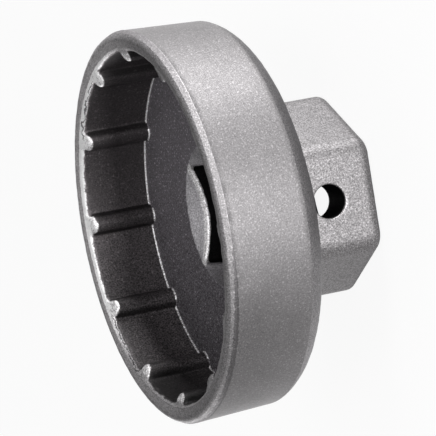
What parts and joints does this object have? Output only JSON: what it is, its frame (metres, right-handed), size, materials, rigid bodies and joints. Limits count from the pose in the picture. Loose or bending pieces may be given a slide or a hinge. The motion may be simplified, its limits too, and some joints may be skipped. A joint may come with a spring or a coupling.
{
  "type": "bottom bracket tool",
  "caption": "Cast steel socket whose ridged cup grips a notched bottom bracket cup, turned by an outer hexagon or an inner square drive.",
  "frame": {"origin": "centre of the hexagon's end face, on the tool's axis", "axes": "+Z along the tool's axis from the hexagon's end to the cup's opening, +X square to a flat that the cross hole goes through"},
  "size_m": [0.0516, 0.0516, 0.0281],
  "materials": {
    "cast_steel": "blasted cast steel, satin grey with a fine grain"
  },
  "bodies": {
    "root": {"tool_body": "cast_steel"}
  },
  "joints": []
}
